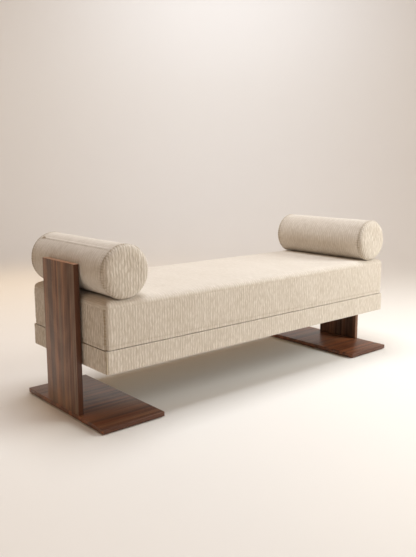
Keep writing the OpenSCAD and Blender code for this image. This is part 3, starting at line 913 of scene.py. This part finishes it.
class DAYBED_OT_foam(bpy.types.Operator):
    """Makes the foam inside the base, the mattress and the bolsters"""

    bl_idname = "daybed.foam"
    bl_label = "Foam"

    shrink = 0.0025
    pad_shrink, pad_edge = 0.0003, 0.0012
    mattress_shrink, mattress_edge = 0.008, 0.018

    def execute(self, context):
        foam = mottled_material(
            "cut_foam", (0.86, 0.80, 0.62), (0.70, 0.62, 0.44), 0.92, 0.0016, relief=0.0009
        )
        wadding = mottled_material(
            "soft_wadding", (0.9, 0.88, 0.82), (0.78, 0.75, 0.68), 0.95, 0.003, relief=0.0012
        )
        for node in ("front_padding", "back_padding", "left_end_padding", "right_end_padding"):
            piece = self.slab(node, self.pad_shrink, self.pad_edge)
            if "end" in node:
                self.cut_window(piece, node)
            self.place(piece, node, "frame", foam)
        for node, material in (("mattress_core", foam), ("mattress_topper", wadding)):
            self.place(self.slab(node, self.mattress_shrink, self.mattress_edge), node, "mattress", material)
        for side in SIDES:
            node = f"{side}_bolster_core"
            self.place(self.roll(node), node, f"{side}_bolster", foam)
        return {"FINISHED"}

    def place(self, piece, node, body, material):
        shade(piece)
        place_piece(piece, body, material, [node])

    def slab(self, node, shrink, edge):
        """A cut sheet of foam with softened edges, a little inside its CAD node."""
        low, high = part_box(node)
        less = Vector((shrink, shrink, shrink))
        piece = block(f"{node}_foam", low + less, high - less)
        bevel(piece, edge, 3)
        return piece

    def cut_window(self, piece, node):
        """The way through for the spacer plate."""
        low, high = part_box(f"{node.split('_')[0]}_spacer_plate")
        past = Vector((0.02, 0.001, 0.001))
        cutter = block("cutter", low - past, high + past)
        apply_modifier(piece, "BOOLEAN", operation="DIFFERENCE", object=cutter, solver="EXACT")
        bpy.data.objects.remove(cutter)

    def roll(self, node):
        """A turned foam roll with softened ends and a flat underside."""
        low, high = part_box(node)
        radius = (high.x - low.x) / 2 - self.shrink
        middle = (low + high) / 2
        centre = Vector((middle.x, middle.y, high.z - (high.x - low.x) / 2))
        bpy.ops.object.select_all(action="DESELECT")
        bpy.ops.mesh.primitive_cylinder_add(
            vertices=96, radius=radius, depth=high.y - low.y - 2 * self.shrink,
            location=centre, rotation=(math.pi / 2, 0, 0),
        )
        piece = bpy.context.object
        piece.name = f"{node}_foam"
        bpy.ops.object.transform_apply(location=True, rotation=True, scale=True)
        bevel(piece, 0.018, 4, lambda edge: abs(edge.verts[0].co.y - edge.verts[1].co.y) < 1e-6)
        flat = low.z + self.shrink
        select_in_edit(piece, "faces", lambda face: True)
        bpy.ops.mesh.bisect(plane_co=(0, 0, flat), plane_no=(0, 0, 1), clear_inner=True, use_fill=True)
        bpy.ops.object.mode_set(mode="OBJECT")
        return piece


# ------------------------------------------------------------------ mattress


class DAYBED_OT_mattress(bpy.types.Operator):
    """Makes the mattress's sewn and stuffed cover"""

    bl_idname = "daybed.mattress"
    bl_label = "Mattress"

    clearance = 0.0004

    def execute(self, context):
        sew = sewing()
        low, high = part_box("mattress_cover")
        zip_low, zip_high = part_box("mattress_zip")
        top_seam, low_seam = high.z - sew.top_seam, low.z + sew.low_seam
        corner_y = high.y - sew.corner_seam
        zip_z = (zip_low.z, zip_high.z)
        zip_x = (zip_low.x, zip_high.x)
        xs = stations(low.x, high.x, 0.044, 0.0036, 0.010, zip_x)
        ys = stations(low.y, high.y, 0.044, 0.0036, 0.0095, (-corner_y, corner_y))
        zs = stations(low.z, high.z, 0.04, 0.0032, 0.0038, (low_seam, top_seam, *zip_z))
        casing = Casing("mattress_upholstery", xs, ys, zs, top_from=top_seam)
        piece, flat = casing.piece, casing.flat
        wrap_on(piece, stuffed("mattress_skin", ["mattress_core", "mattress_topper"], 0.012, sew.swell))
        self.sew(piece, flat, low, high, top_seam, low_seam, corner_y, zip_x, zip_z)
        self.settle(piece, low, high)
        smooth(piece)
        place_piece(piece, "mattress", bpy.data.materials["sewn_cloth"], ["mattress_cover"])
        return {"FINISHED"}

    def sew(self, piece, flat, low, high, top_seam, low_seam, corner_y, zip_x, zip_z):
        """Draws in the seams, with gathers beside them, and opens the slit for the zip."""
        sew = sewing()
        x, y, z = flat.T
        on_end = np.isclose(abs(x), high.x)
        on_long = np.isclose(abs(y), high.y)
        on_side = on_end | on_long
        band = on_side & (z < top_seam) & (z > low_seam)
        run = np.where(on_end, y, x)
        away = corner_y - abs(y)
        beside = abs(y) - corner_y
        corner = bump_at(away, 0.0042) * (on_end & (z < top_seam))
        upper = bump_at(z - top_seam, 0.0034) * on_side
        lower = bump_at(z - low_seam, 0.0028) * on_side
        folds = gathers(z, away, sew.gather_step, 0.013, 1.0) * (on_end & band)
        folds += 0.7 * gathers(z, beside, sew.gather_step, 0.009, 1.0) * (on_end & band)
        small = gathers(run, top_seam - z, sew.gather_step, 0.012, 2.0)
        small += gathers(run, z - low_seam, sew.gather_step, 0.008, 4.0)
        lift = -sew.seam_depth * (1.4 * corner + 0.45 * upper + 0.6 * lower)
        lift += sew.gather * (folds + 0.25 * small * band)
        lift += 0.0009 * noise_at(flat, 0.11, 1.0) + 0.0004 * noise_at(flat, 0.035, 2.0)
        at_zip = (y > 0) & on_long & (x >= zip_x[0]) & (x <= zip_x[1]) & (z >= zip_z[0]) & (z <= zip_z[1])
        lift[at_zip] = -SLIT_DEPTH
        p = points_of(piece)
        tight = 0.85 * np.clip((low_seam + 0.004 - z) / 0.008, 0, 1) * on_side
        p[:, :2] += (self.above(flat, p, low.z + 0.026) - p[:, :2]) * tight[:, None]
        p[:, 2] -= (p[:, 2] - low.z) * np.clip((low_seam - z) / 0.012, 0, 1) * on_side * 0.8
        set_points(piece, p + normals_of(piece) * lift[:, None])
        inside = np.minimum(high.x - abs(x), high.y - abs(y))
        # painted light: the long sides get weaker, lighter ribs than the ends, and the top gets the weakest and
        # lightest
        ribs = np.where(on_end, 0.95, 0.62)
        ribs = np.where(z > top_seam, 0.5 - 0.24 * np.clip(inside / 0.03, 0, 1), ribs)
        # painted shade in the seams and in the hollows of the gathers
        crease = 0.6 * corner + 0.1 * upper + 0.14 * lower
        crease += 1.0 * np.clip(-folds, 0, 1) + 0.1 * np.clip(-small, 0, 1) * band
        store(piece, ribs=ribs, crease=crease)

    def above(self, flat, places, level):
        """For each vertex of the walls, the place (x, y) of the vertex above it at the given level."""
        rows = np.unique(flat[:, 2])
        row = rows[np.argmin(abs(rows - level))]
        columns = np.round(flat[:, :2] * 1e6).astype(np.int64) @ np.array([10**8, 1])
        there = np.isclose(flat[:, 2], row)
        order = np.argsort(columns[there])
        keys, found = columns[there][order], places[there][order, :2]
        at = np.clip(np.searchsorted(keys, columns), 0, len(keys) - 1)
        return np.where((keys[at] == columns)[:, None], found[at], places[:, :2])

    def settle(self, piece, low, high):
        """Rests the underside on the base, and lets the bolsters press into the top."""
        p = points_of(piece)
        edge = np.minimum(high.x - abs(p[:, 0]), high.y - abs(p[:, 1]))
        droop = 0.0014 * np.clip((0.045 - edge) / 0.02, 0, 1)
        near = np.clip((low.z + 0.02 - p[:, 2]) / 0.02, 0, 1)
        p[:, 2] = np.maximum(p[:, 2], low.z) - droop * near
        for side in SIDES:
            under = bolster_underside(side, p[:, 0]) - self.clearance
            b_low, b_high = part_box(f"{side}_bolster_cover")
            covered = (p[:, 1] > b_low.y) & (p[:, 1] < b_high.y) & (p[:, 2] > (low.z + high.z) / 2)
            p[:, 2] = np.where(covered, np.minimum(p[:, 2], under), p[:, 2])
        set_points(piece, p)


# ------------------------------------------------------------------ bolsters


def bolster_shape(side):
    """The axis (x, z), the radius and the level of the flattened underside of a bolster."""
    low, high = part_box(f"{side}_bolster_cover")
    radius = (high.x - low.x) / 2
    axis_z = high.z - radius
    return (low.x + high.x) / 2, axis_z, radius, axis_z - radius + sewing().dent


def bolster_underside(side, x):
    """How low a bolster reaches above each x, and far above everything beside it."""
    axis_x, axis_z, radius, flat = bolster_shape(side)
    off = abs(x - axis_x)
    arc = axis_z - np.sqrt(np.maximum(radius**2 - off**2, 0))
    return np.where(off < radius, np.maximum(arc, flat), 1e3)


class DAYBED_OT_bolsters(bpy.types.Operator):
    """Makes the two bolsters, each a sewn tube with two gathered end panels"""

    bl_idname = "daybed.bolsters"
    bl_label = "Bolsters"

    rounds = 250
    cloth_t = 0.0014
    half_slit = 0.0034

    def execute(self, context):
        skin = stuffed("bolster_skin", ["right_bolster_core"], 0.006, sewing().bolster_swell)
        for side, sign in SIDES.items():
            self.make(side, sign, skin)
        bpy.data.objects.remove(skin)
        return {"FINISHED"}

    def profile(self, half, radius, rim):
        """Rings from the front pole to the back one: (radius, y, arc length from the pole, panel)."""
        flat_r = radius - rim
        rings = [(r, -half, r, 0) for r in np.linspace(flat_r / 16, flat_r, 16)]
        turns = 12
        for step in range(1, turns + 1):
            angle = step / turns * math.pi / 2
            y = -half + rim * (1 - math.cos(angle))
            rings.append((flat_r + rim * math.sin(angle), y, flat_r + rim * angle, 0))
        tube = stations(-half + rim, half - rim, 0.036, 0.003, 0.0078)
        middle = [(radius, y, y, 1) for y in tube[1:-1]]
        back = [(r, -y, arc, 2) for r, y, arc, _ in rings[::-1]]
        return rings + middle + back

    def angles(self, seam, radius):
        """Angles round the roll, from the seam on, with lines at the edges of its slit."""
        edge = self.half_slit / radius
        open_run = np.linspace(edge * 1.5, 2 * math.pi - edge * 1.5, self.rounds - 4)
        return seam + np.concatenate([[0.0, edge], open_run, [2 * math.pi - edge]])

    def make(self, side, sign, skin):
        body = f"{side}_bolster"
        axis_x, axis_z, radius, flat_z = bolster_shape(side)
        cap_low, cap_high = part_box(f"{body}_front_cap")
        half = -cap_low.y
        rim = cap_high.y - cap_low.y
        zip_low, zip_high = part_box(f"{body}_zip")
        zip_mid = (zip_low + zip_high) / 2
        seam = math.atan2((zip_mid.x - axis_x) * sign, zip_mid.z - axis_z)
        rings = self.profile(half, radius, rim)
        angles = self.angles(seam, radius)
        piece, ring_of, angle_of = self.grid(body, rings, angles, sign, axis_x, axis_z, radius)
        copy = skin.copy()
        copy.data = skin.data.copy()
        bpy.context.scene.collection.objects.link(copy)
        set_points(copy, points_of(copy) * (sign, 1, 1))
        wrap_on(piece, copy)
        self.sew(piece, rings, ring_of, angle_of - seam, half, rim, radius, zip_high.y, sign)
        self.settle(piece, axis_x, flat_z)
        self.part(piece, body, half - rim)

    def grid(self, body, rings, angles, sign, axis_x, axis_z, radius):
        """The closed roll as quads, with its poles as fans."""
        count = len(angles)
        places, ring_of, angle_of = [], [], []
        for number, (r, y, _, _) in enumerate(rings):
            for a in angles:
                places.append((axis_x + sign * r * math.sin(a), y, axis_z + r * math.cos(a)))
                ring_of.append(number)
                angle_of.append(a)
        faces, uvs = [], []

        def uv_at(number, a, panel):
            _, y, arc, _ = rings[number]
            if panel == 1:
                return y, radius * a
            return sign * arc * math.sin(a), arc * math.cos(a)

        def add(corners, panel):
            corners = corners if sign > 0 else corners[::-1]
            faces.append([index for index, _, _ in corners])
            uvs.extend(uv_at(number, a, panel) for _, number, a in corners)

        for number in range(len(rings) - 1):
            below, above = rings[number][3], rings[number + 1][3]
            panel = 1 if below != above or below == 1 else below
            for k in range(count):
                n = (k + 1) % count
                a, b = angles[k], angles[n] + (2 * math.pi if n == 0 else 0)
                i = number * count
                ring = [
                    (i + k, number, a), (i + count + k, number + 1, a),
                    (i + count + n, number + 1, b), (i + n, number, b),
                ]
                add(ring, panel)
        for number, panel in ((0, 0), (len(rings) - 1, 2)):
            pole = len(places)
            places.append((axis_x, rings[number][1], axis_z))
            ring_of.append(number)
            angle_of.append(angles[0])
            for k in range(count):
                n = (k + 1) % count
                i = number * count
                fan = [i + k, i + n, pole] if panel == 0 else [i + n, i + k, pole]
                fan = fan if sign > 0 else fan[::-1]
                faces.append(fan)
                for index in fan:
                    x, _, z = places[index]
                    uvs.append((x - axis_x, z - axis_z))
        piece = mesh_piece(body, places, faces, uvs)
        return piece, np.array(ring_of), np.array(angle_of)

    def sew(self, piece, rings, ring_of, turn, half, rim, radius, zip_end, sign):
        """Draws in the end seams and gathers the panels' rims, and opens the lengthwise slit."""
        sew = sewing()
        rings = np.array(rings)
        y = rings[ring_of, 1]
        arc = rings[ring_of, 2]
        panel = rings[ring_of, 3]
        seam_arc = radius - rim + rim * math.pi / 2
        on_cap = panel != 1
        from_seam = np.where(on_cap, seam_arc - arc, (half - rim) - abs(y))
        run = turn * radius
        seed = np.where(y < 0, 11.0, 13.0) + 4 * sign
        lift = -sew.seam_depth * 1.3 * bump_at(from_seam, 0.0036)
        folds = np.zeros(len(y))
        for value in np.unique(seed):
            which = seed == value
            folds[which] = gathers(run[which], from_seam[which], sew.gather_step * 0.85, 0.0125, value)
        lift += sew.gather * np.where(on_cap, 1.0, 0.5) * folds
        places = points_of(piece)
        lift += 0.0008 * noise_at(places, 0.09, 3.0 + sign) + 0.0004 * noise_at(places, 0.03, 6.0 + sign)
        wrapped = (turn + math.pi) % (2 * math.pi) - math.pi
        off_seam = abs(wrapped) * radius
        lift -= ~on_cap * 0.0007 * bump_at(off_seam, 0.006)
        in_slit = ~on_cap & (off_seam < self.half_slit * 1.05) & (abs(y) < zip_end)
        lift[in_slit] = -SLIT_DEPTH
        set_points(piece, places + normals_of(piece) * lift[:, None])
        shoulder = np.clip(((half - rim) - abs(y)) / 0.004, 0, 1)
        # painted shade along the end seams and in the hollows of the gathers
        crease = 0.3 * bump_at(from_seam, 0.0042) + 1.1 * np.clip(-folds, 0, 1)
        # painted light: the tube gets weaker ribs than the end panels, so it is painted lighter
        store(piece, ribs=0.78 - 0.33 * shoulder, crease=crease)

    def settle(self, piece, axis_x, flat_z):
        """Presses the underside flat, and keeps the roll clear of its post."""
        p = points_of(piece)
        squeezed = np.maximum(flat_z - p[:, 2], 0)
        p[:, 2] = np.maximum(p[:, 2], flat_z)
        p[:, 0] += np.sign(p[:, 0] - axis_x) * np.minimum(squeezed, 0.002) * 0.8
        post_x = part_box("right_post")[0].x - 0.0008
        p[:, 0] = np.clip(p[:, 0], -post_x, post_x)
        set_points(piece, p)

    def part(self, piece, body, seam_y):
        """Cuts the roll at its end seams into a tube and two end panels."""
        node_of = {0: f"{body}_cover", -1: f"{body}_front_cap", 1: f"{body}_back_cap"}
        pieces = {0: piece}
        for end in (-1, 1):
            select_in_edit(piece, "faces", lambda face: face.calc_center_median().y * end > seam_y)
            before = set(bpy.data.objects)
            bpy.ops.mesh.separate(type="SELECTED")
            bpy.ops.object.mode_set(mode="OBJECT")
            pieces[end] = (set(bpy.data.objects) - before).pop()
        for end, part in pieces.items():
            part.name = node_of[end] + "_cloth"
            apply_modifier(part, "SOLIDIFY", thickness=self.cloth_t, offset=-1)
            smooth(part)
            material = bpy.data.materials["sewn_cloth"]
            place_piece(part, body, material, [node_of[end]])


# ------------------------------------------------------------------ zips


class DAYBED_OT_zips(bpy.types.Operator):
    """Makes the zips of the mattress and the bolsters, with their sliders"""

    bl_idname = "daybed.zips"
    bl_label = "Zips"

    tooth_step = 0.003

    def execute(self, context):
        tape = self.tape_material()
        metal = mottled_material(
            "dull_zip_metal", (0.76, 0.69, 0.58), (0.60, 0.54, 0.45), 0.45, 0.0016, 1.0, 0.00003, 0.3, (1, 0.1, 1)
        )
        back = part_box("mattress_cover")[1].y
        low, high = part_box("mattress_zip")
        turn = Matrix.Rotation(math.radians(-90), 4, "X") @ Matrix.Rotation(math.radians(90), 4, "Z")
        self.make("mattress", Vector((0, back, (low.z + high.z) / 2)), turn, high.x - low.x, tape, metal)
        for side in SIDES:
            axis_x, axis_z, radius, _ = bolster_shape(side)
            low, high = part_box(f"{side}_bolster_zip")
            outwards = (low + high) / 2 - Vector((axis_x, 0, axis_z))
            angle = math.atan2(outwards.x, outwards.z)
            place = Vector((axis_x + radius * math.sin(angle), 0, axis_z + radius * math.cos(angle)))
            turn = Matrix.Rotation(angle, 4, "Y")
            self.make(f"{side}_bolster", place, turn, high.y - low.y, tape, metal)
        return {"FINISHED"}

    def tape_material(self):
        cloth = cloth_set()
        middle = [(a + b) / 2 for a, b in zip(cloth.light, cloth.dark)]
        return mottled_material("woven_tape", cloth.light, middle, 0.8, 0.0009, relief=0.0002)

    def make(self, owner, place, turn, run, tape, metal):
        """One zip and its slider. Both are made at the origin, along Y, and then put in place."""
        where = Matrix.Translation(place) @ turn
        chain = self.chain(f"{owner}_zip_chain", run)
        chain.data.transform(where)
        place_piece(chain, owner, tape, [f"{owner}_zip"])
        slider = self.slider(f"{owner}_zip_puller", run)
        slider.data.transform(where)
        place_piece(slider, f"{owner}_zip_pull", metal, [f"{owner}_zip_slider"])

    def chain(self, name, run):
        """The tape, and a coil of teeth along its middle."""
        tape = block(name, (-0.0034, -run / 2, -0.0019), (0.0034, run / 2, -0.0011))
        bevel(tape, 0.0002, 1)
        tooth = block("tooth", (-0.00115, -run / 2 + 0.004, -0.0011), (0.00115, -run / 2 + 0.0058, 0.0002))
        bevel(tooth, 0.00045, 1)
        count = int((run - 0.014) / self.tooth_step)
        apply_modifier(
            tooth, "ARRAY", count=count, use_relative_offset=False,
            use_constant_offset=True, constant_offset_displace=(0, self.tooth_step, 0),
        )
        select_only(tape)
        tooth.select_set(True)
        bpy.ops.object.join()
        shade(tape)
        return tape

    def slider(self, name, run):
        """A tapered slider body, its bridge, and a pull tab with an eye."""
        end = run / 2 - 0.012
        body = block(name, (-0.0031, end - 0.012, 0.00062), (0.0031, end, 0.0026))
        select_in_edit(body, "faces", lambda face: face.normal.z > 0.9)
        bpy.ops.mesh.inset(thickness=0.0008, depth=0.0004)
        bpy.ops.object.mode_set(mode="OBJECT")
        bevel(body, 0.0005, 2)
        bridge = block("bridge", (-0.0008, end - 0.0095, 0.0029), (0.0008, end - 0.003, 0.0040))
        bevel(bridge, 0.0004, 2)
        tab = block("tab", (-0.0024, end - 0.028, 0.00335), (0.0024, end - 0.006, 0.00435))
        select_in_edit(tab, "faces", lambda face: abs(face.normal.z) > 0.9)
        bpy.ops.mesh.inset(thickness=0.0011, depth=-0.00025, use_individual=True)
        bpy.ops.object.mode_set(mode="OBJECT")
        bevel(tab, 0.0003, 2)
        select_only(body)
        for part in (bridge, tab):
            part.select_set(True)
        bpy.ops.object.join()
        shade(body)
        return body


# ------------------------------------------------------------------ frame and fasteners


class DAYBED_OT_hardware(bpy.types.Operator):
    """Gives the frame's timber, the fasteners and the floor pads their finishes"""

    bl_idname = "daybed.hardware"
    bl_label = "Frame and fasteners"

    def execute(self, context):
        pine = ((0.72, 0.53, 0.32), (0.50, 0.33, 0.17))
        ply = ((0.66, 0.50, 0.33), (0.47, 0.33, 0.19))
        beech = ((0.74, 0.55, 0.37), (0.58, 0.40, 0.25))
        # name of the finish: pale colour, dark colour, roughness, grain, metallic, relief and wear
        mottled = {
            "zinc_plate": ((0.72, 0.73, 0.75), (0.50, 0.51, 0.53), 0.34, 0.002, 1.0, 0.00003, 0.2),
            "black_paint": ((0.05, 0.05, 0.05), (0.02, 0.02, 0.02), 0.45, 0.0012, 0.0, 0.00008),
            "turned_brass": ((0.80, 0.62, 0.30), (0.60, 0.44, 0.18), 0.3, 0.001, 1.0, 0.00003),
            "black_rubber": ((0.045, 0.045, 0.045), (0.014, 0.014, 0.014), 0.75, 0.003, 0.0, 0.0004),
        }
        finishes = {name: mottled_material(name, *values) for name, values in mottled.items()}
        finishes |= {
            "pine_long": timber_material("pine_long", (2, 1, 0), *pine, rings=0.009, pores=0.3),
            "pine_cross": timber_material("pine_cross", (2, 0, 1), *pine, rings=0.009, pores=0.3),
            "pine_block": timber_material("pine_block", (0, 1, 2), *pine, rings=0.008, pores=0.3),
            "plywood_sheet": timber_material("plywood_sheet", (1, 2, 0), *ply, rings=0.016, pores=0.5),
            "beech_pins": timber_material("beech_pins", (0, 1, 2), *beech, rings=0.006, pores=0.6),
        }
        endings = [
            ("_floor_pad", "black_rubber"), ("_spacer_plate", "black_paint"), ("_inserts", "turned_brass"),
            ("_bolts", "zinc_plate"), ("_washers", "zinc_plate"), ("_screws", "zinc_plate"),
            ("_staples", "zinc_plate"), ("_dowels", "beech_pins"), ("_mounting_block", "plywood_sheet"),
            ("deck_panel", "plywood_sheet"), ("corner_blocks", "pine_block"), ("_end_rail", "pine_cross"),
            ("_cross_rail", "pine_cross"), ("front_rail", "pine_long"), ("back_rail", "pine_long"),
        ]
        for node, part in frame["nodes"].items():
            for ending, finish in endings:
                if node.endswith(ending):
                    for slot in part.material_slots:
                        slot.material = finishes[finish]
        return {"FINISHED"}


class DAYBED_OT_cloth(bpy.types.Operator):
    """Makes the ribbed upholstery cloth"""

    bl_idname = "daybed.cloth"
    bl_label = "Cloth"

    def execute(self, context):
        cloth_material("sewn_cloth")
        return {"FINISHED"}


# ------------------------------------------------------------------ add-on

STEPS = (
    DAYBED_OT_stage, DAYBED_OT_cloth, DAYBED_OT_legs, DAYBED_OT_hardware, DAYBED_OT_base,
    DAYBED_OT_foam, DAYBED_OT_mattress, DAYBED_OT_bolsters, DAYBED_OT_zips,
)
SETTINGS = {
    "daybed_cloth": DaybedCloth,
    "daybed_sewing": DaybedSewing,
    "daybed_wood": DaybedWood,
    "daybed_studio": DaybedStudio,
}


class DAYBED_PT_panel(bpy.types.Panel):
    """Lists the steps and the settings of the daybed"""

    bl_idname = "DAYBED_PT_panel"
    bl_label = "Daybed"
    bl_space_type = "VIEW_3D"
    bl_region_type = "UI"
    bl_category = "Daybed"

    def draw(self, context):
        for step in STEPS:
            self.layout.operator(step.bl_idname)
        for name, group in SETTINGS.items():
            box = self.layout.box()
            for setting in group.__annotations__:
                box.prop(getattr(context.scene, name), setting)


def register():
    for group in SETTINGS.values():
        bpy.utils.register_class(group)
    for name, group in SETTINGS.items():
        setattr(bpy.types.Scene, name, PointerProperty(type=group))
    for step in STEPS:
        bpy.utils.register_class(step)
    bpy.utils.register_class(DAYBED_PT_panel)


def unregister():
    bpy.utils.unregister_class(DAYBED_PT_panel)
    for step in reversed(STEPS):
        bpy.utils.unregister_class(step)
    for name in SETTINGS:
        delattr(bpy.types.Scene, name)
    for group in SETTINGS.values():
        bpy.utils.unregister_class(group)


def main():
    register()
    for step in STEPS:
        group, name = step.bl_idname.split(".")
        getattr(getattr(bpy.ops, group), name)()


if __name__ == "__main__":
    main()
